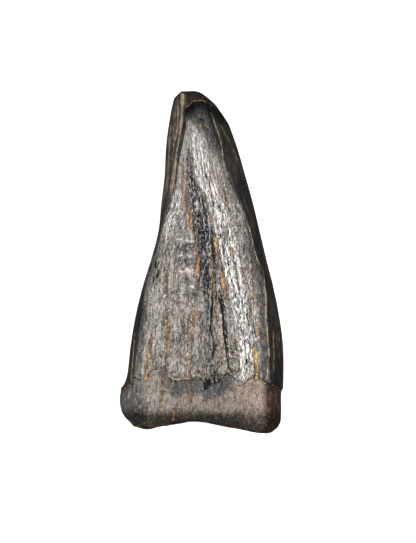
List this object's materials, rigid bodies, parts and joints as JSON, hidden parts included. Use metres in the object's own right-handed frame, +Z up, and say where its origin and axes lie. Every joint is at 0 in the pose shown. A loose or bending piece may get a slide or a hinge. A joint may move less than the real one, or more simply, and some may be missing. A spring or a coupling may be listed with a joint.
{
  "type": "tyrannosaur premaxillary tooth",
  "caption": "Fossil tyrannosaur premaxillary tooth: D-shaped crown with dark cracked enamel, a worn tip, a low median ridge and a short stump of root, lying on its labial side",
  "frame": {"origin": "centre of the tooth's footprint box, on the surface it rests on", "axes": "+Y runs along the tooth towards its tip, +X across it to the right as seen with the tip away, +Z up out of the flatter lingual face"},
  "size_m": [0.0088, 0.018, 0.0064],
  "materials": {
    "fossil_enamel": "dark brown-black mineralised enamel with a satin gloss, fine lengthwise cracks filled orange and tan"
  },
  "bodies": {
    "root": {"tooth": "fossil_enamel"}
  },
  "joints": []
}
